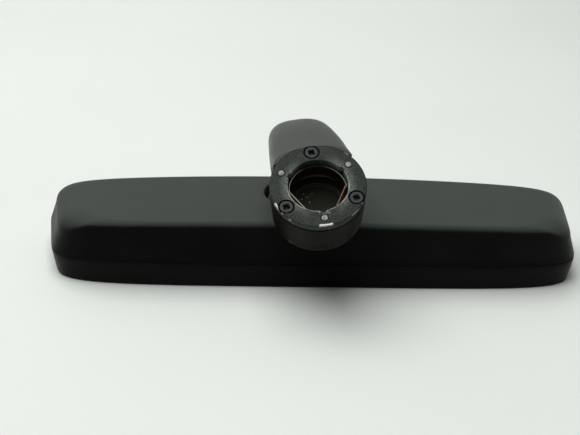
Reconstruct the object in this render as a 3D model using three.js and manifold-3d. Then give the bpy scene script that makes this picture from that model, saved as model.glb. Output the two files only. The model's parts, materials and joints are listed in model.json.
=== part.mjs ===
// Interior rearview mirror with a manual day/night lever, lying on its glass.
//
// The mirror head is a shell, a bezel and a wedge of glass on a carrier plate. Inside it a toggle
// bracket carries a ball socket. The ball's stud holds a short hooked arm, whose round foot locks
// on to a button on the windscreen.
//
// Millimetres, +Z up. The origin is the centre of the glass face. +X runs along the head and +Y
// points to the edge with the lever, which is the lower edge in a car.

import * as THREE from 'three';
import { mergeVertices } from 'three/addons/utils/BufferGeometryUtils.js';
import Module from 'manifold-3d';

const wasm = await Module();
wasm.setup();

// ---- Driving dimensions ----

const GAP = 0.3;                  // between pieces that touch

// Head
const HEAD_LENGTH = 250;
const HEAD_WIDTH = 66.4;
const FAR_BOW = 3.5;              // how far the lever edge bows out at its middle
const NEAR_BOW = 0.8;             // the same for the other long edge
const TRAPEZE = 0.038;            // the lever edge is longer than the other by this share
const NEAR_CORNER = 6;            // superellipse exponents of the corners
const FAR_CORNER = 8.3;
const RIM_DEPTH = 1.2;            // the bezel's rim stands this far in front of the glass
const RIM_INSET = 1.8;            // the bezel leans in by this much from seam to rim
const SEAM_Z = 10.7;              // where bezel and rear shell meet
const SHOULDER_Z = 28.1;          // top of the rear shell at its ends
const CROWN = 2.7;                // extra height at the middle of its length
const SIDE_DRAFT = 0.4;           // the long walls lean in by this much
const END_DRAFT = 2.8;            // and the ends by this much
const SHOULDER_HIGH = 8.4;        // shoulder radius on the far edge, and its height at the ends
const NEAR_SHOULDER = 3;          // shoulder radius on the near edge
const SHOULDER_END = 12.2;        // how far the shoulder runs in at the ends
const SHELL_WALL = 2.2;
const SHOULDER_STEPS = 3;

// Glass and what carries it
const GLASS_THICK = 3.9;          // at the middle of the wedge
const WEDGE = 0.042;              // slope of the glass's silvered back
const GLASS_INSET = 4.4;
const LIP_INSET = 6.4;            // opening of the bezel's lip
const PAD_THICK = 0.8;
const CARRIER_THICK = 1.7;

// Ball joint
const BALL = new THREE.Vector3(-3.8, 7, 22.8);
const BALL_R = 8;
const SEAT_WALL = 1.6;
const CUP_R = 12.6;
const SHANK_R = 3.6;
const OPENING_R = 20.4;           // opening of the rear shell round the neck
const SKIRT_R = 18.9;             // ball-shaped skirt of the arm cover
const SKIRT_TOP = 12;             // above the ball's centre
const SKIRT_BOTTOM = 1.2;
const COVER_WALL = 1.6;

// Toggle
const BRACKET_PIVOT = { y: -22, z: 14 };
const BRACKET_Z = 8.8;
const BRACKET_THICK = 2;
const LEVER_X = BALL.x;           // the lever is centred on the ball
const LEVER_PIVOT = { y: 24.5, z: 15.5 };
const CRANK = { y: 31.5, z: 12.5 };
const PIN_R = 1.5;
const CRANK_R = 1.4;

// Arm and foot, in the arm's own frame with the ball's centre as origin
const ARM_YAW = 4.6;              // how the arm stands on its ball, in degrees
const ARM_ROLL = -7.4;
const FOOT_CENTRE = new THREE.Vector3(0, -60.8, 34.8);
const FOOT_TILT = 35.2;           // degrees between the foot's axis and the stud
const FOOT_R = 20.8;
const FOOT_BORE_R = 12.9;
const RING_THICK = 3.2;
const FOOT_HEIGHT = 22.3;
const FOOT_TAPER = 0.9;
const CAVITY_R = 15;
const CAVITY_DEPTH = 18;
const SCREW_CIRCLE_R = 17.3;
const PIN_CIRCLE_R = 16.8;
const CHORD_R = 10.7;             // flats of the retaining spring
const SPRING_R = 12.6;            // its round part
const SPRING_THICK = 0.5;

// ---- Materials ----

function finish(color, roughness, metalness = 0) {
  return new THREE.MeshStandardMaterial({ color, roughness, metalness });
}

const SHELL_PLASTIC = finish(0x2b2e2d, 0.6);
const BEZEL_PLASTIC = finish(0x191b1b, 0.55);
const COVER_PLASTIC = finish(0x3a3c3b, 0.5);
const LINER_PLASTIC = finish(0xd8d4c6, 0.45);
const CARRIER_PLASTIC = finish(0x222424, 0.7);
const FOAM = finish(0x30302e, 0.95);
const GLASS = finish(0xb9c4c4, 0.05, 0.9);
const BLACK_PAINT = finish(0x1f2121, 0.45, 0.3);
const ZINC = finish(0x8d8f8e, 0.45, 0.9);
const STEEL = finish(0xa9abab, 0.35, 1);
const BLACK_STEEL = finish(0x151515, 0.4, 0.8);
const BRONZE = finish(0x9a5a3a, 0.35, 1);

// ---- Solids ----

// A closed geometry as a solid that can be joined and cut.
function solid(geometry) {
  const bare = new THREE.BufferGeometry();
  bare.setAttribute('position', geometry.getAttribute('position').clone());
  if (geometry.index) bare.setIndex(geometry.index);
  const merged = mergeVertices(bare, 1e-4);
  const corners = [];
  for (let i = 0; i < merged.index.count; i += 3) {
    const [a, b, c] = [0, 1, 2].map((k) => merged.index.getX(i + k));
    if (a !== b && b !== c && c !== a) corners.push(a, b, c);
  }
  return new wasm.Manifold(new wasm.Mesh({
    numProp: 3,
    vertProperties: merged.getAttribute('position').array,
    triVerts: Uint32Array.from(corners),
  }));
}

function join(first, ...others) {
  return others.reduce((whole, other) => whole.add(other), first);
}

function cut(first, ...others) {
  return others.reduce((whole, other) => whole.subtract(other), first);
}

// The same solid somewhere else.
function moved(body, matrix) {
  const { vertProperties, triVerts } = body.getMesh();
  const positions = new THREE.BufferAttribute(Float32Array.from(vertProperties), 3).applyMatrix4(matrix);
  return new wasm.Manifold(new wasm.Mesh({ numProp: 3, vertProperties: positions.array, triVerts }));
}

function shifted(body, x, y, z) {
  return moved(body, new THREE.Matrix4().makeTranslation(x, y, z));
}

function piece(name, material, body) {
  const { vertProperties, triVerts } = body.getMesh();
  const geometry = new THREE.BufferGeometry();
  geometry.setAttribute('position', new THREE.BufferAttribute(Float32Array.from(vertProperties), 3));
  geometry.setIndex(Array.from(triVerts));
  geometry.computeVertexNormals();
  const mesh = new THREE.Mesh(geometry, material);
  mesh.name = name;
  return mesh;
}

function box(xs, ys, zs) {
  const geometry = new THREE.BoxGeometry(xs[1] - xs[0], ys[1] - ys[0], zs[1] - zs[0]);
  geometry.translate((xs[0] + xs[1]) / 2, (ys[0] + ys[1]) / 2, (zs[0] + zs[1]) / 2);
  return solid(geometry);
}

// A round bar along Z.
function bar(radius, zs, x = 0, y = 0, sides = 16) {
  const geometry = new THREE.CylinderGeometry(radius, radius, zs[1] - zs[0], sides);
  geometry.rotateX(Math.PI / 2);
  geometry.translate(x, y, (zs[0] + zs[1]) / 2);
  return solid(geometry);
}

// A round bar along X through a point of the YZ plane.
function crossBar(radius, xs, at, sides = 16) {
  const geometry = new THREE.CylinderGeometry(radius, radius, xs[1] - xs[0], sides);
  geometry.rotateZ(-Math.PI / 2);
  geometry.translate((xs[0] + xs[1]) / 2, at.y, at.z);
  return solid(geometry);
}

// A body turned about the Z axis from [radius, z] pairs that run upwards on the outside.
function turned(profile, sides = 24) {
  const points = profile.map(([radius, z]) => new THREE.Vector2(radius, z));
  const geometry = new THREE.LatheGeometry(points, sides);
  geometry.rotateX(Math.PI / 2);
  return solid(geometry);
}

// Points of an arc as [radius, z] pairs about a centre on the Z axis, between two heights in degrees.
function arc(radius, from, to, steps = 5) {
  return Array.from({ length: steps + 1 }, (_, i) => {
    const angle = THREE.MathUtils.degToRad(from + (to - from) * i / steps);
    return [radius * Math.cos(angle), radius * Math.sin(angle)];
  });
}

// A plate along X whose side view is given as [y, z] pairs.
function sidePlate(outline, xs) {
  const shape = new THREE.Shape(outline.map(([y, z]) => new THREE.Vector2(y, z)));
  const geometry = new THREE.ExtrudeGeometry(shape, { depth: xs[1] - xs[0], bevelEnabled: false });
  geometry.applyMatrix4(new THREE.Matrix4().makeBasis(
    new THREE.Vector3(0, 1, 0), new THREE.Vector3(0, 0, 1), new THREE.Vector3(1, 0, 0)));
  geometry.translate(xs[0], 0, 0);
  return solid(geometry);
}

// A flat plate from a plan outline.
function flatPlate(shape, zs, curveSegments = 12) {
  const options = { depth: zs[1] - zs[0], bevelEnabled: false, curveSegments };
  const geometry = new THREE.ExtrudeGeometry(shape, options);
  geometry.translate(0, 0, zs[0]);
  return solid(geometry);
}

// A closed skin over rings of equal length, each counterclockwise seen from above.
function loft(rings) {
  const count = rings[0].length;
  const centre = (ring) => ring.reduce((sum, p) => sum.add(p), new THREE.Vector3()).divideScalar(count);
  const points = [...rings.flat(), centre(rings[0]), centre(rings[rings.length - 1])];
  const bottom = points.length - 2;
  const top = points.length - 1;
  const last = (rings.length - 1) * count;
  const faces = [];
  for (let j = 0; j < count; j += 1) {
    const next = (j + 1) % count;
    for (let i = 0; i < rings.length - 1; i += 1) {
      const [a, b, c, d] = [i * count + j, i * count + next, (i + 1) * count + next, (i + 1) * count + j];
      faces.push(a, b, c, a, c, d);
    }
    faces.push(bottom, next, j, top, last + j, last + next);
  }
  const geometry = new THREE.BufferGeometry().setFromPoints(points);
  geometry.setIndex(faces);
  return solid(geometry);
}

// ---- Mirror head ----

// 1 on the near long edge of the head, 0 on its ends and its far edge.
function nearEdge(along, across) {
  return across < 0 ? THREE.MathUtils.smoothstep(1 - Math.abs(along), 0, 0.12) : 0;
}

// One ring of points round the head. The inset is [ends, far edge, near edge] from the widest outline.
function headRing(inset, height, scale = 1, steps = 4) {
  const ring = [];
  for (let quarter = 0; quarter < 4; quarter += 1) {
    for (let k = -steps; k < steps; k += 1) {
      const s = k / steps;
      const angle = THREE.MathUtils.degToRad(45 + 45 * s * (0.4 + 0.6 * s * s) + 90 * quarter);
      const [c, d] = [Math.cos(angle), Math.sin(angle)];
      const corner = d > 0 ? FAR_CORNER : NEAR_CORNER;
      const reach = (Math.abs(c) ** corner + Math.abs(d) ** corner) ** (-1 / corner);
      const across = reach * d;
      const along = reach * c;
      const bow = (across > 0 ? FAR_BOW : NEAR_BOW) * across * (1 - along * along);
      const near = nearEdge(along, across);
      const side = THREE.MathUtils.lerp(inset[1], inset[2] ?? inset[1], near);
      const x = (HEAD_LENGTH / 2 - inset[0]) * along * (1 + TRAPEZE * across) * scale;
      const y = ((HEAD_WIDTH / 2 - side) * across + bow) * scale;
      ring.push(new THREE.Vector3(x, y, height(x, y, near)));
    }
  }
  return ring;
}

// The rear of the head from a height up to its crowned back, all of it shrunk by a wall.
function headBack(bottom, wall = 0) {
  const rise = (x) => CROWN * (1 - (2 * x / HEAD_LENGTH) ** 2);
  const rings = [headRing([wall, wall], () => bottom)];
  for (let i = 0; i <= SHOULDER_STEPS; i += 1) {
    const angle = i / SHOULDER_STEPS * Math.PI / 2;
    const run = 1 - Math.cos(angle);
    const ends = wall + END_DRAFT + (SHOULDER_END - wall) * run;
    const side = (radius) => wall + SIDE_DRAFT + (radius - wall) * run;
    const lift = Math.sin(angle);
    const level = (radius) => SHOULDER_Z - radius + (radius - wall) * lift;
    const height = (x, y, near) => THREE.MathUtils.lerp(
      level(SHOULDER_HIGH) + rise(x) * lift, level(NEAR_SHOULDER) + rise(x), near);
    rings.push(headRing([ends, side(SHOULDER_HIGH), side(NEAR_SHOULDER)], height));
  }
  const edge = [END_DRAFT + SHOULDER_END, SIDE_DRAFT + SHOULDER_HIGH, SIDE_DRAFT + NEAR_SHOULDER];
  for (const scale of [0.72, 0.36]) {
    rings.push(headRing(edge, (x) => SHOULDER_Z - wall + rise(x), scale));
  }
  return loft(rings);
}

// A level slice of the head between two heights, inset by [ends, long edges] at each.
function headSlice(insetFrom, insetTo, from, to) {
  return loft([headRing(insetFrom, () => from), headRing(insetTo, () => to)]);
}

// A slice whose faces follow the silvered back of the wedge of glass, at two distances behind it.
function wedgeSlice(inset, from, to) {
  const ring = (offset) => headRing([inset, inset], (x, y) => GLASS_THICK - WEDGE * y + offset);
  return loft([ring(from), ring(to)]);
}

const CARRIER_FROM = 2 * GAP + PAD_THICK;
const CARRIER_TO = CARRIER_FROM + CARRIER_THICK;
const TONGUE_INSET = SHELL_WALL + GAP;
const TONGUE_TOP = SEAM_Z + 3.4;
const carrierBack = (y) => GLASS_THICK - WEDGE * y + CARRIER_TO;
const LEVER_SLOT = box([LEVER_X - 5.6, LEVER_X + 5.6], [31.5, 42], [9.2, 19.2]);
const LEVER_ROOM = box([LEVER_X - 9.6, LEVER_X + 9.6], [26, 34.4], [7.5, 20]);
const CARRIER_SCREWS = [[-98, -14], [98, -14], [98, 16], [-98, 16]];
const BOSS_R = 3.4;
const SCREW_R = 1.25;
const CARRIER_HEAD_R = 2.5;

function rearShell() {
  const skin = cut(headBack(SEAM_Z + GAP / 2), headBack(SEAM_Z - 1, SHELL_WALL));
  const roof = SHOULDER_Z + CROWN;
  const collar = bar(OPENING_R + 1.8, [23.5, roof], BALL.x, BALL.y, 40);
  const opening = bar(OPENING_R, [20, 40], BALL.x, BALL.y, 40);
  const bosses = CARRIER_SCREWS.map(([x, y]) => bar(BOSS_R, [carrierBack(y) + GAP, roof], x, y));
  const pilots = CARRIER_SCREWS.map(([x, y]) => bar(SCREW_R + GAP, [2, 17], x, y, 12));
  const ear = (x, ys, foot) => box([x - 1.5, x + 1.5], ys, [foot, roof]);
  const bracketEars = [-13, 13].map((x) => ear(BALL.x + x, [-25, -18.6], 10.6));
  const leverEars = [-13.5, 13.5].map((x) => ear(LEVER_X + x, [21.8, 27.2], 12.4));
  const bracketBore = crossBar(PIN_R + GAP, [BALL.x - 20, BALL.x + 20], BRACKET_PIVOT);
  const leverBore = crossBar(PIN_R + GAP, [LEVER_X - 20, LEVER_X + 20], LEVER_PIVOT);
  const inside = join(collar, ...bosses, ...bracketEars, ...leverEars).intersect(headBack(5, SHELL_WALL / 2));
  const whole = join(skin, inside);
  return cut(whole, opening, ...pilots, bracketBore, leverBore, LEVER_SLOT);
}

function bezel() {
  const outer = loft([
    headRing([RIM_INSET + 1.1, RIM_INSET + 1.1], () => -RIM_DEPTH),
    headRing([RIM_INSET + 0.3, RIM_INSET + 0.3], () => -RIM_DEPTH + 0.35),
    headRing([RIM_INSET, RIM_INSET], () => -RIM_DEPTH + 1.1),
    headRing([0, 0], () => SEAM_Z - 2),
    headRing([0, 0], () => SEAM_Z - GAP / 2),
  ]);
  const level = (inset) => [inset, inset];
  const tongue = headSlice(level(TONGUE_INSET), [TONGUE_INSET + 1.2, TONGUE_INSET + 0.2], 4, TONGUE_TOP);
  const brim = [TONGUE_INSET + 2.5, TONGUE_INSET + 1.5];
  const pocket = headSlice(level(TONGUE_INSET + 1.3), brim, -GAP / 2, TONGUE_TOP);
  const mouth = headSlice(brim, brim, TONGUE_TOP - 1, 30);
  const lip = headSlice(level(LIP_INSET), level(LIP_INSET), -9, 9);
  const seat = headSlice(level(GLASS_INSET - GAP), level(GLASS_INSET - GAP), -GAP, 6);
  return cut(join(outer, tongue), pocket, mouth, lip, seat, LEVER_SLOT, LEVER_ROOM);
}

function mirrorGlass() {
  const front = headRing([GLASS_INSET, GLASS_INSET], () => 0);
  const inner = headRing([GLASS_INSET, GLASS_INSET], () => 0, 0.8);
  const back = headRing([GLASS_INSET, GLASS_INSET], (x, y) => GLASS_THICK - WEDGE * y);
  return loft([inner, front, back]);
}

function carrierPlate() {
  const plate = wedgeSlice(GLASS_INSET + 1.2, CARRIER_FROM, CARRIER_TO);
  const sinks = CARRIER_SCREWS.map(([x, y]) => {
    const front = GLASS_THICK - WEDGE * y + CARRIER_FROM;
    const [head, bore] = [CARRIER_HEAD_R + GAP + 0.1, SCREW_R + GAP];
    const sink = turned([[0, -2], [head, -2], [head, 0.5], [bore, 0.5 + head - bore], [bore, 3], [0, 3]], 16);
    return shifted(sink, x, y, front);
  });
  return cut(plate, ...sinks);
}

// A countersunk screw with its head at z = 0, facing up, and a cross recess.
function countersunk(headR, shankR, length) {
  const depth = headR - shankR;
  const head = [[shankR, -depth], [headR, -0.25], [headR, 0], [0, 0]];
  const body = turned([[0, -length], [shankR, -length], ...head], 16);
  return cut(body, ...crossRecess(headR * 0.62, [-0.9, 1]));
}

// The two slots of a screwdriver's cross.
function crossRecess(reach, zs) {
  return [box([-reach, reach], [-0.28, 0.28], zs), box([-0.28, 0.28], [-reach, reach], zs)];
}

// A pan-head screw with the underside of its head at z = 0 and its shank below.
function panScrew(headR, headHigh, shankR, length) {
  const body = turned([[0, -length], [shankR, -length], [shankR, 0], [headR, 0], [headR, headHigh * 0.6],
    [headR * 0.75, headHigh], [0, headHigh]], 16);
  return cut(body, ...crossRecess(headR * 0.6, [headHigh * 0.4, 9]));
}

function carrierScrew(index) {
  const [x, y] = CARRIER_SCREWS[index];
  const screw = piece(`carrier_screw_${index + 1}`, BLACK_STEEL, countersunk(CARRIER_HEAD_R, SCREW_R, 9.5));
  screw.rotation.x = Math.PI;
  screw.position.set(x, y, GLASS_THICK - WEDGE * y + CARRIER_FROM + 0.1);
  return screw;
}

const WASHER_X = 11.1;

function springWasher() {
  const [bore, rim] = [PIN_R + GAP, 3];
  return turned([[bore, 0], [rim, 0.35], [rim, 0.75], [bore, 0.4], [bore, 0]], 24);
}

// ---- Day/night lever ----

function dayNightLever() {
  const reach = [[23.5, 14], [31.5, 11.1], [38.6, 9.1], [38.6, 11.9], [31.5, 13.9], [25.5, 17]];
  const hub = crossBar(2.8, [-4.9, 4.9], LEVER_PIVOT, 20);
  const blade = sidePlate(reach, [-4.6, 4.6]);
  const crank = crossBar(CRANK_R, [-8.7, 8.7], CRANK);
  const tab = new THREE.Shape();
  tab.moveTo(-10, 38.4);
  tab.lineTo(10, 38.4);
  tab.lineTo(10, 44.5);
  tab.quadraticCurveTo(9.5, 48, 0, 48);
  tab.quadraticCurveTo(-9.5, 48, -10, 44.5);
  const grip = flatPlate(tab, [8.9, 11.9], 8);
  const rib = crossBar(1, [-8, 8], { y: 46, z: 11.9 }, 12);
  const body = cut(join(hub, blade, crank, grip, rib), crossBar(PIN_R + GAP, [-9, 9], LEVER_PIVOT));
  return shifted(body, LEVER_X, 0, 0);
}

// ---- Toggle bracket and socket ----

const BRACKET_TOP = BRACKET_Z + BRACKET_THICK;
const LUG_R = 2.6;
const LUG_CIRCLE_R = 13.4;
const LUG_ANGLES = [30, 150, 270];
const CUP_BOTTOM = BRACKET_TOP + GAP - BALL.z;
const CUP_TOP = 2;
const FLANGE_TOP = CUP_TOP + GAP + 1.6;
const CLAMP_TOP = 6.8;
const CLAMP_HEAD_R = 2.2;
const SEAT_OUTER_R = BALL_R + GAP + SEAT_WALL;
const CUP_INNER_R = SEAT_OUTER_R + GAP;

function onCircle(radius, degrees) {
  const angle = THREE.MathUtils.degToRad(degrees);
  return [radius * Math.cos(angle), radius * Math.sin(angle)];
}

function toggleBracket() {
  const sheet = [BRACKET_Z, BRACKET_TOP];
  const disc = bar(16.2, sheet, BALL.x, BALL.y, 32);
  const tail = box([BALL.x - 10.8, BALL.x + 10.8], [-25, 4], sheet);
  const barrel = crossBar(3.1, [BALL.x - 11.1, BALL.x + 11.1], BRACKET_PIVOT);
  const foot = box([BALL.x - 10.8, BALL.x + 10.8], [-25, -19], [BRACKET_Z, BRACKET_PIVOT.z - 1]);
  const [jaw, jawTop] = [CRANK.z + 1.8, CRANK.z + 3.4];
  const hook = [[8, BRACKET_Z], [33.4, BRACKET_Z], [33.4, BRACKET_TOP], [29.2, BRACKET_TOP], [29.2, jaw],
    [33.2, jaw], [33.2, jawTop], [27.6, jawTop], [27.6, BRACKET_TOP], [8, BRACKET_TOP]];
  const forks = [-7.2, 7.2].map((x) => sidePlate(hook, [LEVER_X + x - 1.5, LEVER_X + x + 1.5]));
  const holes = LUG_ANGLES.map((degrees) => {
    const [x, y] = onCircle(LUG_CIRCLE_R, degrees);
    return bar(SCREW_R + GAP, [0, 20], BALL.x + x, BALL.y + y, 12);
  });
  const bore = crossBar(PIN_R + GAP, [BALL.x - 20, BALL.x + 20], BRACKET_PIVOT);
  const hubRoom = box([LEVER_X - 5.4, LEVER_X + 5.4], [19.4, 30], [0, 20]);
  return cut(join(disc, tail, barrel, foot, ...forks), ...holes, bore, hubRoom);
}

// The socket's pieces are drawn about the ball's centre.
function lugs(zs) {
  return LUG_ANGLES.map((degrees) => bar(LUG_R, zs, ...onCircle(LUG_CIRCLE_R, degrees)));
}

function lugHoles() {
  return LUG_ANGLES.map((degrees) => bar(SCREW_R + GAP, [-20, 20], ...onCircle(LUG_CIRCLE_R, degrees), 12));
}

function socketCup() {
  const outside = join(bar(CUP_R, [CUP_BOTTOM, CUP_TOP], 0, 0, 32), ...lugs([CUP_BOTTOM, CUP_TOP]));
  const hollow = turned([...arc(CUP_INNER_R, -90, 0), [CUP_INNER_R, CUP_TOP + 1], [0, CUP_TOP + 1]]);
  return cut(outside, hollow, ...lugHoles());
}

function clampRing() {
  const crown = turned([[0, CUP_TOP + GAP], [CUP_R, CUP_TOP + GAP], [CUP_R, CLAMP_TOP - 2],
    [CUP_R - 2.6, CLAMP_TOP], [0, CLAMP_TOP]]);
  const flange = lugs([CUP_TOP + GAP, FLANGE_TOP]);
  const hollow = turned([[0, 0], ...arc(CUP_INNER_R, 0, 90)]);
  const headRooms = LUG_ANGLES.map((degrees) => {
    const [x, y] = onCircle(LUG_CIRCLE_R, degrees);
    return bar(CLAMP_HEAD_R + GAP, [FLANGE_TOP, 20], x, y);
  });
  return cut(join(crown, ...flange), hollow, ...lugHoles(), ...headRooms);
}

const SEAT_BAND = 8.5;            // half the open band between the two seats, in degrees
const SEAT_MOUTH = 50;            // half the angle of the upper seat's opening

function lowerSeat() {
  const outside = arc(SEAT_OUTER_R, -90, -SEAT_BAND);
  const inside = arc(BALL_R + GAP, -SEAT_BAND, -90);
  return turned([...outside, ...inside]);
}

function upperSeat() {
  const outside = arc(SEAT_OUTER_R, SEAT_BAND, 90 - SEAT_MOUTH);
  const inside = arc(BALL_R + GAP, 90 - SEAT_MOUTH, SEAT_BAND);
  return turned([...outside, ...inside, outside[0]]);
}

// ---- Arm ----

const EYE = [18, 30];             // the casting's eye on the stud, above the ball's centre
const THREAD_R = 3;

function ballStud() {
  const ball = arc(BALL_R, -90, 90 - 26, 8);
  return turned([...ball, [SHANK_R, 13.6], [SHANK_R, 14.4], [6.4, 14.4], [6.4, EYE[0] - GAP],
    [THREAD_R, EYE[0] - GAP], [THREAD_R, 35.5], [0, 35.5]]);
}

function studNut() {
  const nut = bar(5.6, [EYE[1] + GAP, EYE[1] + GAP + 4.2], 0, 0, 6);
  return cut(nut, bar(THREAD_R + GAP, [20, 50]));
}

// The arm's top line and underside in side view, and its half width, station by station.
const ARM_TOP = [[14.6, 12], [15.9, 20], [16, 31], [11.6, 40.2], [1.5, 44.2], [-14, 45.8], [-28, 46.1],
  [-43, 46.1], [-54, 46.1]];
const ARM_UNDER = [[-14.6, 12], [-15.1, 15.5], [-16, 19.6], [-18, 22.6], [-20.6, 24.6], [-23.6, 26],
  [-27.4, 27.8], [-32, 30.2], [-41, 34.8]];
const ARM_HALF_WIDTH = [14.6, 14.9, 15, 15, 15.3, 16.2, 17, 17.3, 17.3];
const ARM_STATIONS = 11;
const ARM_SIDES = 18;

function armLoft(wall = 0) {
  const spline = (pairs) => new THREE.SplineCurve(pairs.map(([y, z]) => new THREE.Vector2(y, z)));
  const top = spline(ARM_TOP);
  const under = spline(ARM_UNDER);
  const widths = spline(ARM_HALF_WIDTH.map((width, i) => [i, width]));
  const rings = [];
  for (let i = 0; i <= ARM_STATIONS; i += 1) {
    const t = i / ARM_STATIONS;
    const [above, below, width] = [top.getPoint(t), under.getPoint(t), widths.getPoint(t).y];
    const middle = above.clone().add(below).multiplyScalar(0.5);
    const half = above.clone().sub(middle);
    const long = half.length();
    const square = 2 + 2.2 * t - 1.1 * t * t;
    const ring = [];
    for (let k = 0; k < ARM_SIDES; k += 1) {
      const angle = k / ARM_SIDES * Math.PI * 2;
      const [c, s] = [Math.cos(angle), Math.sin(angle)];
      const across = Math.sign(c) * Math.abs(c) ** (2 / square) * (width - wall);
      const up = Math.sign(s) * Math.abs(s) ** (2 / square) * (long - wall) / long;
      ring.push(new THREE.Vector3(across, middle.x + half.x * up, middle.y + half.y * up));
    }
    rings.push(ring);
  }
  const start = rings[0].map((p) => p.clone().setZ(p.z - 2));
  return loft(wall > 0 ? [start, ...rings] : rings);
}

// Moves a solid drawn about the foot's own axis, with its face at z = 0, to its place on the arm.
function footPlace(body) {
  const tilt = new THREE.Matrix4().makeRotationX(THREE.MathUtils.degToRad(FOOT_TILT));
  return moved(body, tilt.setPosition(FOOT_CENTRE));
}

function footSpace(radius, zs) {
  return footPlace(bar(radius, zs, 0, 0, 40));
}

const COVER_SCREW = { y: -22, z: 22.4 };

function coverSkin() {
  const polar = THREE.MathUtils.radToDeg(Math.asin(SKIRT_TOP / SKIRT_R));
  const low = THREE.MathUtils.radToDeg(Math.asin(SKIRT_BOTTOM / SKIRT_R));
  const skirt = turned([[0, SKIRT_BOTTOM], ...arc(SKIRT_R, low, polar, 4), [0, SKIRT_TOP]], 32);
  const inner = SKIRT_R - COVER_WALL;
  const hollow = turned([[0, -3], [inner, -3], ...arc(inner, 0, 44, 4), [0, SKIRT_TOP + 0.01]], 32);
  const pad = bar(4.4, [COVER_SCREW.z, 28], 0, COVER_SCREW.y);
  const outside = join(skirt, armLoft(), pad);
  const inside = join(hollow, cut(armLoft(COVER_WALL), bar(4.4, [10, 27], 0, COVER_SCREW.y)));
  const screwHole = bar(SCREW_R + GAP, [0, 40], 0, COVER_SCREW.y, 12);
  const aboveFace = footPlace(box([-40, 40], [-40, 60], [-0.2, 40]));
  return cut(outside, inside, footSpace(FOOT_R + GAP, [-60, 40]), screwHole, aboveFace);
}

// The underside of the arm, between neck and foot, is a panel of its own.
function undersideRegion(grow) {
  const split = [[-8, 14], [-13, 24], [-24, 32.5], [-40, 37.5], [-60, 41]];
  const bottom = 13.4 - grow;
  const back = split.map(([y, z]) => [y + grow, z + grow]);
  return sidePlate([[-60, bottom], [-8 + grow, bottom], ...back], [-40, 40]);
}

function coverScrew() {
  const screw = piece('cover_screw', BLACK_STEEL, panScrew(2.6, 1.6, SCREW_R, 12));
  screw.rotation.x = Math.PI;
  screw.position.set(0, COVER_SCREW.y, COVER_SCREW.z - GAP);
  return screw;
}

// ---- Foot ----

const SCREW_ANGLES = [90, 210, 330];
const PIN_ANGLES = [150, 30, 270];
const SPRING_FLATS = [210, 330];
const FOOT_SCREW_R = 1.5;
const RIVET_R = 1.4;

// Clearance holes for round pieces of a radius on a circle about the foot's axis.
function drilled(radius, zs, circle, angles) {
  return angles.map((degrees) => bar(radius + GAP, zs, ...onCircle(circle, degrees)));
}

function footCasting() {
  const rim = -RING_THICK - GAP;
  const low = -FOOT_HEIGHT;
  const cup = turned([[0, low], [FOOT_R - FOOT_TAPER - 2, low], [FOOT_R - FOOT_TAPER - 0.6, low + 0.6],
    [FOOT_R - FOOT_TAPER, low + 2], [FOOT_R - 0.15, rim], [0, rim]], 40);
  const [floor, ledge, floorR] = [-CAVITY_DEPTH, -CAVITY_DEPTH + 2, CAVITY_R - 3.4];
  const sides = [[floorR, floor], [floorR, ledge], [CAVITY_R, ledge], [CAVITY_R, 2]];
  const hollow = turned([[0, floor], ...sides, [0, 2]], 40);
  const eye = bar(8, EYE, 0, 0, 28);
  const beam = sidePlate([[0, 19.5], [-14, 26], [-27, 31], [-40, 36], [-45, 43],
    [-28, 42.5], [-14, 38.5], [-8.5, 30], [0, 29.5]], [-5, 5]);
  const web = cut(beam, footSpace(FOOT_R - FOOT_TAPER - 0.6, [-60, 40]), footSpace(FOOT_R + GAP, [rim, 40]));
  const screwHole = bar(SCREW_R + GAP, [20, 38], 0, COVER_SCREW.y, 12);
  const screwHoles = drilled(FOOT_SCREW_R, [-14, 2], SCREW_CIRCLE_R, SCREW_ANGLES);
  const pinHoles = drilled(RIVET_R, [-9, 2], PIN_CIRCLE_R, PIN_ANGLES);
  const bowl = footPlace(cut(cup, hollow, ...screwHoles, ...pinHoles));
  return cut(join(bowl, eye, web), bar(THREAD_R + GAP, [10, 40]), screwHole);
}

// The pieces of the foot are drawn about its own axis, with its face at z = 0.
function footRing() {
  const plate = turned([[FOOT_BORE_R, -RING_THICK], [FOOT_R, -RING_THICK], [FOOT_R, -0.7], [FOOT_R - 0.5, 0],
    [FOOT_BORE_R + 0.4, 0], [FOOT_BORE_R, -0.4], [FOOT_BORE_R, -RING_THICK]], 40);
  const bore = FOOT_SCREW_R + GAP;
  const sink = turned([[0, -5], [bore, -5], [bore, -1.9], [3.3, -0.35], [3.3, 2], [0, 2]], 16);
  const sinks = SCREW_ANGLES.map((degrees) => shifted(sink, ...onCircle(SCREW_CIRCLE_R, degrees), 0));
  const pinHoles = drilled(RIVET_R, [-9, 2], PIN_CIRCLE_R, PIN_ANGLES);
  const notches = PIN_ANGLES.map((degrees) => bar(1.8, [-9, 2], ...onCircle(FOOT_BORE_R - 0.8, degrees)));
  return cut(plate, ...sinks, ...pinHoles, ...notches);
}

// A leaf bent to a circle with two flats, which grip the button.
function retainingSpring() {
  const outline = (inward) => {
    const points = [];
    for (let degrees = 0; degrees < 360; degrees += 7.5) {
      const offFlat = Math.min(...SPRING_FLATS.map((flat) => Math.abs(degrees - flat)));
      const flat = (CHORD_R - inward) / Math.cos(THREE.MathUtils.degToRad(Math.min(offFlat, 60)));
      points.push(new THREE.Vector2(...onCircle(Math.min(flat, SPRING_R - inward), degrees)));
    }
    return points;
  };
  const leaf = new THREE.Shape(outline(0));
  leaf.holes.push(new THREE.Path(outline(SPRING_THICK)));
  return flatPlate(leaf, [-RING_THICK - GAP - 6.5, -RING_THICK - GAP]);
}

function ringScrew(index) {
  const screw = piece(`ring_screw_${index + 1}`, BLACK_STEEL, countersunk(3, FOOT_SCREW_R, 12));
  screw.position.set(...onCircle(SCREW_CIRCLE_R, SCREW_ANGLES[index]), -0.1);
  screw.rotation.z = 0.7;
  return screw;
}

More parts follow.
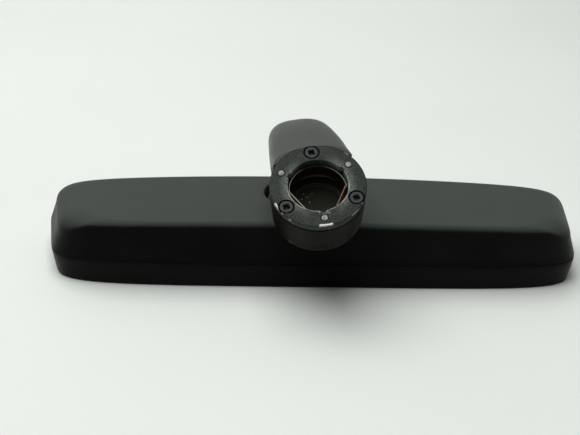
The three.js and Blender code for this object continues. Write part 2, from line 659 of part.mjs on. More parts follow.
function ringPin(index) {
  const pin = piece(`ring_pin_${index + 1}`, STEEL,
    turned([[0, -8], [RIVET_R, -8], [RIVET_R, 0.2], [RIVET_R - 0.4, 0.5], [0, 0.55]], 16));
  pin.position.set(...onCircle(PIN_CIRCLE_R, PIN_ANGLES[index]), 0);
  return pin;
}

// ---- Assembly ----

function headGroup() {
  const group = new THREE.Group();
  group.add(piece('rear_shell', SHELL_PLASTIC, rearShell()));
  group.add(piece('front_bezel', BEZEL_PLASTIC, bezel()));
  group.add(piece('mirror_glass', GLASS, mirrorGlass()));
  group.add(piece('glass_pad', FOAM, wedgeSlice(GLASS_INSET + 1.8, GAP, GAP + PAD_THICK)));
  group.add(piece('carrier_plate', CARRIER_PLASTIC, carrierPlate()));
  for (let i = 0; i < CARRIER_SCREWS.length; i += 1) group.add(carrierScrew(i));
  const pin = (x, half, pivot) => crossBar(PIN_R, [x - half, x + half], pivot);
  group.add(piece('bracket_pivot_pin', STEEL, pin(BALL.x, 14.4, BRACKET_PIVOT)));
  group.add(piece('lever_pivot_pin', STEEL, pin(LEVER_X, 14.9, LEVER_PIVOT)));
  for (const [side, name] of [[-1, 'left'], [1, 'right']]) {
    const washer = piece(`lever_spring_washer_${name}`, STEEL, springWasher());
    washer.rotation.y = side * Math.PI / 2;
    washer.position.set(LEVER_X + side * WASHER_X, LEVER_PIVOT.y, LEVER_PIVOT.z);
    group.add(washer);
  }
  return group;
}

function socketGroup() {
  const group = new THREE.Group();
  group.position.copy(BALL);
  group.add(piece('socket_cup', ZINC, socketCup()));
  group.add(piece('socket_clamp_ring', ZINC, clampRing()));
  group.add(piece('lower_ball_seat', LINER_PLASTIC, lowerSeat()));
  LUG_ANGLES.forEach((degrees, i) => {
    const screw = piece(`clamp_screw_${i + 1}`, STEEL, panScrew(CLAMP_HEAD_R, 1.5, SCREW_R, 15.6));
    screw.position.set(...onCircle(LUG_CIRCLE_R, degrees), FLANGE_TOP + GAP);
    group.add(screw);
  });
  return group;
}

function footGroup() {
  const group = new THREE.Group();
  group.position.copy(FOOT_CENTRE);
  group.rotation.x = THREE.MathUtils.degToRad(FOOT_TILT);
  group.add(piece('foot_ring', BLACK_PAINT, footRing()));
  group.add(piece('retaining_spring', BRONZE, retainingSpring()));
  SCREW_ANGLES.forEach((_, i) => group.add(ringScrew(i)));
  PIN_ANGLES.forEach((_, i) => group.add(ringPin(i)));
  return group;
}

function armGroup() {
  const group = new THREE.Group();
  group.position.copy(BALL);
  group.rotation.set(0, THREE.MathUtils.degToRad(ARM_ROLL), THREE.MathUtils.degToRad(ARM_YAW), 'ZYX');
  group.add(piece('upper_ball_seat', LINER_PLASTIC, upperSeat()));
  group.add(piece('ball_stud', STEEL, ballStud()));
  group.add(piece('stud_nut', STEEL, studNut()));
  group.add(piece('foot_casting', BLACK_PAINT, footCasting()));
  const skin = coverSkin();
  group.add(piece('arm_cover', COVER_PLASTIC, cut(skin, undersideRegion(GAP))));
  group.add(piece('arm_underside_cover', COVER_PLASTIC, skin.intersect(undersideRegion(0))));
  group.add(coverScrew());
  group.add(footGroup());
  return group;
}

const mirror = new THREE.Group();
mirror.add(headGroup());
mirror.add(piece('day_night_lever', BEZEL_PLASTIC, dayNightLever()));
mirror.add(piece('toggle_bracket', STEEL, toggleBracket()));
mirror.add(socketGroup());
mirror.add(armGroup());

export default mirror;
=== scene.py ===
"""Interior rearview mirror with a day/night lever: fine shapes, materials, light and camera.

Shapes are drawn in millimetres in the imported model's frame and scaled to metres when they become
meshes. The head lies on its glass, +Y is the edge with the lever and +Z is the back of the head.
"""

import json
import math

import bmesh
import bpy
from mathutils import Matrix, Vector


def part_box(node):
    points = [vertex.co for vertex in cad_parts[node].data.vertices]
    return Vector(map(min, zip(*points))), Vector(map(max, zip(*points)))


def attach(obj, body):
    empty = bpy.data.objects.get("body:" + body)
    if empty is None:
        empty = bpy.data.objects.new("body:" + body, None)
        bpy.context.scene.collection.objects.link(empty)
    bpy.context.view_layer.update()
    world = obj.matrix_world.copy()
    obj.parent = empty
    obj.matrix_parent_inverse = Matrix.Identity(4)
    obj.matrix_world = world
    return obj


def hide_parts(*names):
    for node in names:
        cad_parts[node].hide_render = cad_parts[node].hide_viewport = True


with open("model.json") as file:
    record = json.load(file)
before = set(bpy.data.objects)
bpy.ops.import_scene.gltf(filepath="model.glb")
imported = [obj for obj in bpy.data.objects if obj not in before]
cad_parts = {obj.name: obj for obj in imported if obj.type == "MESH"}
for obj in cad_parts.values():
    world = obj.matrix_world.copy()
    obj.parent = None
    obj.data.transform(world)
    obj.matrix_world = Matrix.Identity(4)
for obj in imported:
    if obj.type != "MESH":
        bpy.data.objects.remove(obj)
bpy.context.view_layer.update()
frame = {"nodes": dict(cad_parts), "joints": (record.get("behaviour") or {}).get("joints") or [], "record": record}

MM = 0.001
GAP = 0.3

# ---- Places taken from the frame ----

JOINTS = {joint["name"]: joint for joint in frame["joints"]}
MOUNTS = {mount["name"]: mount for mount in frame["record"]["mounts"]}
BALL = Vector(JOINTS["ball_pitch"]["pos_m"]) / MM
LEVER_PIVOT = Vector(JOINTS["day_night_toggle"]["pos_m"]) / MM
ARM_UP = Vector(JOINTS["ball_twist"]["axis"])
FOOT_AXIS = Vector(MOUNTS["foot_face"]["axis"]).normalized()
RIM_Z = MOUNTS["rim_rest"]["pos_m"][2] / MM

# ---- Dimensions, in millimetres ----

HEAD_LENGTH = 250
HEAD_WIDTH = 66.4
FAR_BOW = 3.5
NEAR_BOW = 0.8
TRAPEZE = 0.038
NEAR_CORNER = 6
FAR_CORNER = 8.3
SEAM_Z = 10.7
SHOULDER_Z = 28.1
CROWN = 2.7
SIDE_DRAFT = 0.4
END_DRAFT = 2.8
SHOULDER_HIGH = 8.4
NEAR_SHOULDER = 3
SHOULDER_END = 12.2
SHELL_WALL = 2.2
OPENING_R = 20.4
GLASS_THICK = 3.9
WEDGE = 0.042
GLASS_INSET = 4.4
LIP_INSET = 6.4
RING_STEPS = 22

SKIRT_R = 18.9
SKIRT_BOTTOM = 1.2
SKIRT_TOP = 12
COVER_WALL = 1.6

FOOT_R = 20.8
FOOT_BORE_R = 12.9
RING_THICK = 3.2
FOOT_HEIGHT = 22.3
FOOT_TAPER = 0.9
CAVITY_R = 15
CAVITY_DEPTH = 18
SCREW_CIRCLE_R = 17.3
PIN_CIRCLE_R = 16.8
SCREW_ANGLES = (90, 210, 330)
PIN_ANGLES = (150, 30, 270)
FOOT_SCREW_R = 1.5
PIN_R = 1.4
FLOOR_R = 11.6
RING_SCREW_HEAD_R = 2.85
SINK_R = 3.4
SINK_MOUTH_R = 3.55
# Radii of the painted shade rings round the ring's screws and pins.
SCREW_SHADE_R = 3.52
PIN_SHADE_R = 1.7
NOTCH_R = 1.8
CHORD_R = 10.7
SPRING_R = 12.6
SPRING_FLATS = (210, 330)
SPRING_THICK = 0.5
SPRING_HEIGHT = 6.5
SPRING_LEAN = -0.3
MOULD_LINE_X = 1.5
EDGE_STREAKS = (  # middle and half angle, radius and half width, height and half height, strength
    (-154, 8, 20.7, 0.35, -0.2, 0.45, 1.0),
    (-90, 7.5, 20.3, 0.35, -0.15, 0.35, 0.95),
    (-34, 1.6, 20.7, 0.4, -0.1, 0.4, 0.5),
    (-50, 6, 20.8, 0.2, -0.4, 0.2, 0.4),
    (44, 2, 20.7, 0.4, 0, 0.4, 0.45),
    (-134, 1.2, 20.8, 0.4, -0.8, 0.3, 0.7),
)
COVER_SCREW = (0, -22, 22.4)
COVER_PAD_R = 4.4
COVER_HOLE_R = 1.55
CROSS_HALF_ANGLE = 19
CROSS_WAIST = 0.72

# ---- Frames of the arm and the foot ----


def scaled(point):
    return Vector(point) * MM


def arm_frame():
    yaw = math.atan2(-ARM_UP.y, -ARM_UP.x)
    roll = -math.acos(ARM_UP.z)
    turn = Matrix.Rotation(yaw, 4, "Z") @ Matrix.Rotation(roll, 4, "Y")
    return Matrix.Translation(BALL * MM) @ turn


def foot_frame(arm):
    low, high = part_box("foot_ring")
    face = (low + high) / 2 + FOOT_AXIS * (RING_THICK / 2 * MM)
    side = arm.to_3x3() @ Vector((1, 0, 0))
    across = FOOT_AXIS.cross(side).normalized()
    side = across.cross(FOOT_AXIS)
    turn = Matrix((side, across, FOOT_AXIS)).transposed().to_4x4()
    return Matrix.Translation(face) @ turn


ARM = arm_frame()
FOOT = foot_frame(ARM)

# ---- Mesh tools ----


def mesh_object(name, points, faces):
    mesh = bpy.data.meshes.new(name)
    mesh.from_pydata([scaled(point) for point in points], [], faces)
    mesh.update()
    made = bpy.data.objects.new(name, mesh)
    bpy.context.scene.collection.objects.link(made)
    return made


def loft(name, rings, wrap=False):
    """A skin over closed rings of equal length, capped at both ends or joined end to end."""
    count = len(rings[0])
    points = [point for ring in rings for point in ring]
    faces = []
    for i in range(len(rings) if wrap else len(rings) - 1):
        low = i * count
        high = (i + 1) % len(rings) * count
        for j in range(count):
            k = (j + 1) % count
            faces.append((low + j, low + k, high + k, high + j))
    if not wrap:
        faces.append(tuple(reversed(range(count))))
        faces.append(tuple(range(len(points) - count, len(points))))
    return mesh_object(name, points, faces)


def turned(name, profile, sides=96, wrap=False):
    """A body turned about Z from (radius, z) pairs that run upwards on the outside."""
    rings = []
    for radius, z in profile:
        ring = [polar(radius, 360 * i / sides, z) for i in range(sides)]
        rings.append(ring)
    return loft(name, rings, wrap)


def polar(radius, degrees, z=0):
    angle = math.radians(degrees)
    return (radius * math.cos(angle), radius * math.sin(angle), z)


def bar(name, radius, low, high, x=0, y=0, sides=48):
    made = turned(name, [(radius, low), (radius, high)], sides)
    return shifted(made, x, y, 0)


def box(name, xs, ys, zs):
    corners = [(x, y) for x, y in ((xs[0], ys[0]), (xs[1], ys[0]), (xs[1], ys[1]), (xs[0], ys[1]))]
    return loft(name, [[(x, y, z) for x, y in corners] for z in zs])


def side_plate(name, outline, xs):
    """A plate along X from a side view's (y, z) pairs."""
    made = loft(name, [[(x, y, z) for y, z in outline] for x in xs])
    return facing_out(made)


def cross_bar(name, radius, xs, y, z, sides=48):
    made = turned(name, [(radius, xs[0]), (radius, xs[1])], sides)
    made.data.transform(Matrix.Rotation(math.pi / 2, 4, "Y"))
    return shifted(made, 0, y, z)


def facing_out(made):
    shape = bmesh.new()
    shape.from_mesh(made.data)
    bmesh.ops.recalc_face_normals(shape, faces=shape.faces)
    shape.to_mesh(made.data)
    shape.free()
    return made


def shifted(made, x, y, z):
    made.data.transform(Matrix.Translation(scaled((x, y, z))))
    return made


def placed(made, matrix):
    made.data.transform(matrix)
    return made


def arc(centre, radius, start, stop, steps):
    """Points of an arc in a profile, between two angles in degrees."""
    points = []
    for i in range(steps + 1):
        angle = math.radians(start + (stop - start) * i / steps)
        points.append((centre[0] + radius * math.cos(angle), centre[1] + radius * math.sin(angle)))
    return points


def baked(made):
    """Applies the modifiers."""
    graph = bpy.context.evaluated_depsgraph_get()
    mesh = bpy.data.meshes.new_from_object(made.evaluated_get(graph))
    made.modifiers.clear()
    made.data = mesh
    return made


def combined(made, others, operation):
    for other in others:
        step = made.modifiers.new("step", "BOOLEAN")
        step.operation = operation
        step.solver = "MANIFOLD"
        step.object = other
    baked(made)
    for other in others:
        bpy.data.objects.remove(other)
    return made


def cut(made, *others):
    return combined(made, others, "DIFFERENCE")


def join(made, *others):
    return combined(made, others, "UNION")


def kept_within(made, other):
    return combined(made, [other], "INTERSECT")


def copied(made, name):
    twin = bpy.data.objects.new(name, made.data.copy())
    bpy.context.scene.collection.objects.link(twin)
    return twin


def softened(made, width, segments=2, angle=40):
    """Rounds the edges that turn by more than an angle."""
    step = made.modifiers.new("edges", "BEVEL")
    step.width = width * MM
    step.segments = segments
    step.limit_method = "ANGLE"
    step.angle_limit = math.radians(angle)
    step.use_clamp_overlap = True
    step.harden_normals = False
    return baked(made)


def shaded(made, angle=32):
    mesh = made.data
    mesh.polygons.foreach_set("use_smooth", [True] * len(mesh.polygons))
    mesh.set_sharp_from_angle(angle=math.radians(angle))
    return made


def finished(made, body, nodes, look):
    """Shades a piece, gives it its material and ties it to the frame."""
    shaded(made)
    made.data.materials.clear()
    made.data.materials.append(look)
    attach(made, body)
    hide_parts(*nodes)
    return made


# ---- Head ----


def near_edge(along, across):
    """1 on the near long edge of the head, 0 on its ends and its far edge."""
    if across >= 0:
        return 0
    share = min(1, (1 - abs(along)) / 0.12)
    return share * share * (3 - 2 * share)


def mixed(far, near, share):
    return far + (near - far) * share


def head_ring(inset, height, scale=1):
    """One ring of points round the head; the inset is (ends, far edge, near edge)."""
    ring = []
    for quarter in range(4):
        for k in range(-RING_STEPS, RING_STEPS):
            s = k / RING_STEPS
            angle = math.radians(45 + 45 * s * (0.4 + 0.6 * s * s) + 90 * quarter)
            c, d = math.cos(angle), math.sin(angle)
            corner = FAR_CORNER if d > 0 else NEAR_CORNER
            reach = (abs(c) ** corner + abs(d) ** corner) ** (-1 / corner)
            across, along = reach * d, reach * c
            bow = (FAR_BOW if across > 0 else NEAR_BOW) * across * (1 - along * along)
            near = near_edge(along, across)
            x = (HEAD_LENGTH / 2 - inset[0]) * along * (1 + TRAPEZE * across) * scale
            y = ((HEAD_WIDTH / 2 - mixed(inset[1], inset[2], near)) * across + bow) * scale
            ring.append((x, y, height(x, y, near)))
    return ring


def level_ring(inset, z):
    ends, sides = inset if isinstance(inset, tuple) else (inset, inset)
    return head_ring((ends, sides, sides), lambda x, y, near: z)


def head_rise(x):
    return CROWN * (1 - (2 * x / HEAD_LENGTH) ** 2)


def shoulder_height(wall, lift):
    """The height of a ring on the shoulder, which is tighter on the near edge."""
    far, close = (SHOULDER_Z - radius + (radius - wall) * lift
                  for radius in (SHOULDER_HIGH, NEAR_SHOULDER))
    return lambda x, y, near: mixed(far + head_rise(x) * lift, close + head_rise(x), near)


def head_back(name, bottom, wall=0.0, edge=0.0):
    """The rear of the head from a height up to its crowned back, shrunk by a wall."""
    rings = []
    if edge:
        rings.append(level_ring(wall + edge, bottom))
        rings.append(level_ring(wall + edge * 0.3, bottom + edge * 0.3))
    rings.append(level_ring(wall, bottom + edge))
    for share in (0.35, 0.7):
        inset = (wall + END_DRAFT * share, wall + SIDE_DRAFT * share)
        rise = SHOULDER_Z - SHOULDER_HIGH - bottom - edge
        rings.append(level_ring(inset, bottom + edge + rise * share))
    for i in range(SHOULDER_STEPS + 1):
        angle = i / SHOULDER_STEPS * math.pi / 2
        run = 1 - math.cos(angle)
        lift = math.sin(angle)
        ends = wall + END_DRAFT + (SHOULDER_END - wall) * run
        far, close = (wall + SIDE_DRAFT + (radius - wall) * run
                      for radius in (SHOULDER_HIGH, NEAR_SHOULDER))
        rings.append(head_ring((ends, far, close), shoulder_height(wall, lift)))
    inset = (END_DRAFT + SHOULDER_END, SIDE_DRAFT + SHOULDER_HIGH, SIDE_DRAFT + NEAR_SHOULDER)
    for scale in ROOF_SCALES:
        rings.append(head_ring(inset, lambda x, y, near: SHOULDER_Z - wall + head_rise(x), scale))
    return loft(name, rings)


SHOULDER_STEPS = 14
ROOF_SCALES = (0.985, 0.95, 0.89, 0.8, 0.7, 0.6, 0.5, 0.4, 0.3, 0.2, 0.1, 0.03)
CARRIER_SCREWS = ((-98, -14), (98, -14), (98, 16), (-98, 16))
CARRIER_TO = 2 * GAP + 0.8 + 1.7


def lever_slot():
    return box("slot", (LEVER_PIVOT.x - 5.6, LEVER_PIVOT.x + 5.6), (31.5, 42), (9.2, 19.2))


def neck_opening():
    """A round cutter that flares where it meets the back, so the opening's edge is rounded."""
    top = SHOULDER_Z + head_rise(BALL.x)
    lip = 0.9
    flare = arc((OPENING_R + lip, top - lip), lip, 180, 90, 5)
    profile = [(OPENING_R, 20), *flare, (OPENING_R + lip + 1, top + 0.05), (OPENING_R + lip + 1, 40)]
    return shifted(turned("opening", profile, 128), BALL.x, BALL.y, 0)


def rear_shell():
    shell = cut(head_back("rear_shell_fine", SEAM_Z + GAP / 2, 0.0, 0.25),
                head_back("hollow", SEAM_Z - 1, SHELL_WALL))
    under_roof = SHOULDER_Z + head_rise(HEAD_LENGTH * 0.4) - SHELL_WALL / 2
    additions = [bar("collar", OPENING_R + 1.8, 23.5, SHOULDER_Z + 1, BALL.x, BALL.y, 128)]
    for x, y in CARRIER_SCREWS:
        additions.append(bar("boss", 3.4, GLASS_THICK - WEDGE * y + CARRIER_TO + GAP, under_roof, x, y))
    for x in (-13, 13):
        xs = (BALL.x + x - 1.5, BALL.x + x + 1.5)
        additions.append(box("ear", xs, (-21.5, -18.6), (10.6, under_roof)))
    for x in (-13.5, 13.5):
        xs = (LEVER_PIVOT.x + x - 1.5, LEVER_PIVOT.x + x + 1.5)
        additions.append(box("ear", xs, (21.8, 26.2), (12.4, under_roof - 1)))
    join(shell, *additions)
    cut(shell, neck_opening(), lever_slot())
    return softened(shell, 0.22, 2, 55)


def front_bezel():
    rim = RIM_Z
    tongue = (3.7, 2.7)
    brim = (5.0, 4.0)
    lower = arc((2.9, rim + 1.1), 1.1, 270, 180, 5)
    section = [(LIP_INSET, -0.3), (LIP_INSET, rim + 0.35)]
    section += [(LIP_INSET - 0.12, rim + 0.1), (LIP_INSET - 0.35, rim)]
    section += lower
    section += [(1.2, 3), (0.6, 6), (0.12, SEAM_Z - 2.1), (0, SEAM_Z - 1.4), (0, SEAM_Z - 0.45)]
    section += [(0.08, SEAM_Z - 0.25), (0.3, SEAM_Z - GAP / 2), (2.6, SEAM_Z - GAP / 2)]
    section += [((3.28, 2.63), SEAM_Z - GAP / 2), (tongue, SEAM_Z + 3.2), ((3.9, 2.9), SEAM_Z + 3.4)]
    section += [((4.8, 3.8), SEAM_Z + 3.4), (brim, SEAM_Z + 3.2), (3.8, -0.15), (4.1, -0.3)]
    bezel = facing_out(loft("front_bezel_fine", [level_ring(inset, z) for inset, z in section], wrap=True))
    room = box("room", (LEVER_PIVOT.x - 9.6, LEVER_PIVOT.x + 9.6), (26, 34.4), (7.5, 20))
    return cut(bezel, lever_slot(), room)


def mirror_glass():
    def back(offset):
        return lambda x, y, near: GLASS_THICK - WEDGE * y - offset

    edge = 0.18
    rings = [
        level_ring(GLASS_INSET + edge, 0),
        level_ring(GLASS_INSET, edge),
        head_ring([GLASS_INSET] * 3, back(edge)),
        head_ring([GLASS_INSET + edge] * 3, back(0)),
    ]
    return loft("mirror_glass_fine", rings)


def day_night_lever():
    reach = [(23.5, 14), (31.5, 11.1), (38.6, 9.1), (38.6, 11.9), (31.5, 13.9), (25.5, 17)]
    pivot = (LEVER_PIVOT.y, LEVER_PIVOT.z)
    lever = side_plate("day_night_lever_fine", reach, (-4.6, 4.6))
    outline = [(-10, 38.4), (10, 38.4), (10, 44.5)]
    for i in range(1, 12):
        angle = math.radians(90 * i / 12)
        outline.append((10 * math.cos(angle) ** 0.62, 44.5 + 3.5 * math.sin(angle)))
    outline.append((0, 48))
    outline += [(-x, y) for x, y in reversed(outline[3:-1])]
    outline.append((-10, 44.5))
    grip = facing_out(loft("grip", [[(x, y, z) for x, y in outline] for z in (8.9, 11.9)]))
    softened(grip, 0.9, 4, 50)
    hub = cross_bar("hub", 2.8, (-4.9, 4.9), *pivot)
    crank = cross_bar("crank", 1.4, (-8.7, 8.7), pivot[0] + 7, pivot[1] - 3)
    ribs = [cross_bar("rib", 0.55, (-7.6, 7.6), y, 11.85, 24) for y in (41.6, 43.2, 44.8, 46.2)]
    join(lever, hub, crank, grip, *ribs)
    cut(lever, cross_bar("bore", 1.8, (-9, 9), *pivot))
    return softened(shifted(lever, LEVER_PIVOT.x, 0, 0), 0.15, 2, 60)


# ---- Arm ----

ARM_TOP = [(14.6, 12), (15.9, 20), (16, 31), (11.6, 40.2), (1.5, 44.2),
           (-14, 45.8), (-28, 46.1), (-43, 46.1), (-54, 46.1)]
ARM_UNDER = [(-14.6, 12), (-15.1, 15.5), (-16, 19.6), (-18, 22.6), (-20.6, 24.6),
             (-23.6, 26), (-27.4, 27.8), (-32, 30.2), (-41, 34.8)]
ARM_HALF_WIDTH = [14.6, 14.9, 15, 15, 15.3, 16.2, 17, 17.3, 17.3]
SKIN_INSET = 0.06
ARM_STATIONS = 44
ARM_SIDES = 88
SKIRT_STEPS = 10
SPLIT = [(-8, 14), (-13, 24), (-24, 32.5), (-40, 37.5), (-60, 41)]


def spline(points, t):
    """A Catmull-Rom curve through points, from t = 0 to 1."""
    place = (len(points) - 1) * t
    index = min(int(place), len(points) - 2)
    u = place - index
    near = [Vector(points[min(max(index + k, 0), len(points) - 1)]) for k in (-1, 0, 1, 2)]
    start, stop = (near[2] - near[0]) / 2, (near[3] - near[1]) / 2
    cubic = (near[1] - near[2]) * 2 + start + stop
    square = (near[2] - near[1]) * 3 - start * 2 - stop
    return cubic * u ** 3 + square * u ** 2 + start * u + near[1]


def arm_ring(t, wall=0.0):
    wall += SKIN_INSET
    above, below = spline(ARM_TOP, t), spline(ARM_UNDER, t)
    width = spline([(w, 0) for w in ARM_HALF_WIDTH], t)[0]
    middle = (above + below) / 2
    half = above - middle
    square = 2 / (2 + 2.2 * t - 1.1 * t * t)
    ring = []
    for k in range(ARM_SIDES):
        angle = k / ARM_SIDES * 2 * math.pi
        c, s = math.cos(angle), math.sin(angle)
        across = math.copysign(abs(c) ** square, c) * (width - wall)
        up = math.copysign(abs(s) ** square, s) * (half.length - wall) / half.length
        ring.append((across, middle[0] + half[0] * up, middle[1] + half[1] * up))
    return ring


def skirt_ring(radius, z):
    reach = math.sqrt(radius * radius - z * z)
    return [(x, y, z) for x, y, _ in (polar(reach, 360 * k / ARM_SIDES) for k in range(ARM_SIDES))]


def arm_skin(name, wall=0.0):
    """The arm from its ball-shaped skirt, through a hollow corner, to where it meets the foot."""
    radius = SKIRT_R - wall
    bottom = SKIRT_BOTTOM if wall == 0 else -3
    corner_z = SKIRT_TOP - 1.6
    rings = [skirt_ring(radius, bottom + (corner_z - bottom) * i / SKIRT_STEPS)
             for i in range(SKIRT_STEPS + 1)]
    corner = arm_ring(0, wall)
    beyond = 1 / 24
    after = arm_ring(beyond, wall)
    for i in range(1, 8):
        u = i / 8
        weights = ((1 - u) ** 2, 2 * u * (1 - u), u * u)
        ring = []
        for points in zip(rings[SKIRT_STEPS], corner, after):
            ring.append(tuple(sum(w * p[axis] for w, p in zip(weights, points)) for axis in range(3)))
        rings.append(ring)
    for i in range(ARM_STATIONS + 1):
        rings.append(arm_ring(beyond + (1 - beyond) * i / ARM_STATIONS, wall))
    return loft(name, rings)


def underside_region(grow):
    bottom = 13.4 - grow
    back = [(y + grow, z + grow) for y, z in SPLIT]
    return side_plate("region", [(-60, bottom), (-8 + grow, bottom), *back], (-40, 40))


def foot_space(radius, low, high):
    made = bar("space", radius, low, high, sides=160)
    return placed(made, ARM.inverted() @ FOOT)


def arm_covers():
    """The cover over the arm, and the panel under it."""
    pad_foot = (COVER_SCREW[0], COVER_SCREW[1])
    skin = join(arm_skin("arm_cover_fine"), bar("pad", COVER_PAD_R, COVER_SCREW[2], 28, *pad_foot))
    hollow = cut(arm_skin("hollow", COVER_WALL), bar("core", COVER_PAD_R, 10, 27, *pad_foot))
    above_face = placed(box("above", (-40, 40), (-40, 60), (-0.2, 40)), ARM.inverted() @ FOOT)
    hole = bar("hole", COVER_HOLE_R, 0, 40, *pad_foot)
    cut(skin, hollow, foot_space(FOOT_R + 0.08, -60, 40), hole, above_face)
    panel = kept_within(copied(skin, "arm_underside_fine"), underside_region(0))
    cut(skin, underside_region(GAP))
    for made in (skin, panel):
        softened(made, 0.25, 2, 50)
        placed(made, ARM)
    return skin, panel


# ---- Foot ----


def around(angles, radius, maker):
    made = []
    for degrees in angles:
        x, y, _ = polar(radius, degrees)
        made.append(shifted(maker(), x, y, 0))
    return made


def foot_ring():
    rim = arc((FOOT_R - 0.6, -0.6), 0.6, 0, 90, 6)
    bore = arc((FOOT_BORE_R + 0.45, -0.45), 0.45, 90, 180, 4)
    base = arc((FOOT_R - 0.25, -RING_THICK + 0.25), 0.25, 270, 360, 2)
    profile = [(FOOT_BORE_R, -RING_THICK), *base, *rim, *bore]
    ring = turned("foot_ring_fine", profile, 192, wrap=True)

    def sink():
        bore_r = FOOT_SCREW_R + GAP
        profile = [(bore_r, -5), (bore_r, -1.9), (SINK_R, -0.5), (SINK_R, -0.1)]
        profile += [(SINK_MOUTH_R, 0.02), (SINK_MOUTH_R, 2)]
        return turned("sink", profile, 64)

    holes = around(SCREW_ANGLES, SCREW_CIRCLE_R, sink)
    holes += around(PIN_ANGLES, PIN_CIRCLE_R, lambda: bar("hole", PIN_R + 0.15, -9, 2))
    holes += around(PIN_ANGLES, FOOT_BORE_R - 0.8, lambda: bar("notch", NOTCH_R, -9, 2))
    cut(ring, *holes)
    return placed(softened(ring, 0.12, 2, 55), FOOT)


def foot_casting():
    rim, low = -RING_THICK - GAP, -FOOT_HEIGHT
    outer = FOOT_R - FOOT_TAPER
    profile = [(outer - 2, low), *arc((outer - 1.6, low + 1.6), 1.6, 285, 360, 6)]
    groove = FOOT_R - 0.15
    for i in range(1, 8):
        share = i / 8
        profile.append((outer + (groove - outer) * share, low + 1.6 + (rim - 0.9 - low - 1.6) * share))
    profile += [(groove, rim - 0.9), (groove - 0.25, rim - 0.7), (groove - 0.25, rim - 0.45)]
    profile += [(groove, rim - 0.3), (groove, rim - 0.15), (groove - 0.15, rim)]
    cup = turned("foot_casting_fine", profile, 160)
    floor = -CAVITY_DEPTH
    pocket = [(FLOOR_R, floor), (FLOOR_R, floor + 2), (CAVITY_R, floor + 2), (CAVITY_R, 2)]
    holes = [turned("pocket", pocket, 128)]
    holes += around(SCREW_ANGLES, SCREW_CIRCLE_R, lambda: bar("hole", FOOT_SCREW_R + GAP, -14, 2))
    holes += around(PIN_ANGLES, PIN_CIRCLE_R, lambda: bar("hole", PIN_R + GAP, -9, 2))
    cut(cup, *holes)
    placed(cup, ARM.inverted() @ FOOT)
    side = [(0, 19.5), (-14, 26), (-27, 31), (-40, 36), (-45, 43),
            (-28, 42.5), (-14, 38.5), (-8.5, 30), (0, 29.5)]
    beam = side_plate("beam", side, (-5, 5))
    cut(beam, foot_space(outer - 0.6, -60, 40), foot_space(FOOT_R + GAP, rim, 40))
    join(cup, bar("eye", 8, 18, 30), beam)
    cut(cup, bar("bore", 3.3, 10, 40), bar("hole", COVER_HOLE_R, 20, 38, COVER_SCREW[0], COVER_SCREW[1]))
    return placed(cup, ARM)


def retaining_spring():
    """A leaf bent to a circle with two flats, with rounded corners and edges."""
    top = -RING_THICK - GAP
    low = top - SPRING_HEIGHT

    def outline(inward, z):
        ring = []
        for i in range(240):
            degrees = i * 1.5
            off_flat = min(*(abs(degrees - flat) for flat in SPRING_FLATS), 60)
            lean = SPRING_LEAN * ((z - low) / (top - low) - 0.5)
            flat = (CHORD_R + lean - inward) / math.cos(math.radians(off_flat))
            round_part = SPRING_R - inward
            reach = (flat ** -60 + round_part ** -60) ** (-1 / 60)
            ring.append(polar(reach, degrees, z))
        return ring

    edge = 0.12
    section = [(SPRING_THICK, low + edge), (SPRING_THICK - edge, low), (edge, low), (0, low + edge)]
    section += [(0, top - edge), (edge, top), (SPRING_THICK - edge, top), (SPRING_THICK, top - edge)]
    leaf = loft("retaining_spring_fine", [outline(inward, z) for inward, z in section], wrap=True)
    return placed(facing_out(leaf), FOOT)


def cross_recess(reach, depth, top):
    """A screwdriver's cross: four tapering arms round a pyramid, all narrowing with depth."""
    rings = []
    for z, size in ((top - depth, 0.3), (top + 0.02, 1), (top + 2, 1)):
        ring = []
        for quarter in range(4):
            for degrees, far in ((-CROSS_HALF_ANGLE, 1), (CROSS_HALF_ANGLE, 1), (45, CROSS_WAIST)):
                ring.append(polar(reach * far * size, degrees + 90 * quarter, z))
        rings.append(ring)
    return [facing_out(loft("recess", rings))]


def countersunk(name, head_r, shank_r, length, turn):
    depth = head_r - shank_r
    profile = [(shank_r * 0.7, -length), (shank_r, -length + 0.6), (shank_r, -depth)]
    profile += [(head_r, -0.28), (head_r, -0.1), (head_r - 0.12, 0), (0.6, 0.02)]
    screw = cut(turned(name, profile, 64), *cross_recess(head_r * 0.62, 1.3, 0))
    screw.data.transform(Matrix.Rotation(math.radians(turn), 4, "Z"))
    return screw


def pan_screw(name, head_r, head_high, shank_r, length):
    dome = [(head_r, 0.0), (head_r, head_high * 0.45)]
    for a in (0.35, 0.7, 1.0, 1.25, 1.45):
        dome.append((head_r * math.cos(a), head_high * (0.45 + 0.55 * math.sin(a))))
    screw = turned(name, [(shank_r * 0.7, -length), (shank_r, -length + 0.6), (shank_r, 0), *dome], 64)
    return cut(screw, *cross_recess(head_r * 0.6, head_high * 0.7, head_high))


def ring_pin(name):
    tip = arc((PIN_R - 0.4, 0), 0.4, 0, 90, 5)
    pin = turned(name, [(PIN_R, -8), *tip, (0.3, 0.43)], 48)
    dent = box("dent", (-0.72, 0.62), (-0.16, 0.12), (0.26, 1))
    return softened(cut(pin, dent), 0.08, 2, 50)


# ---- Materials ----


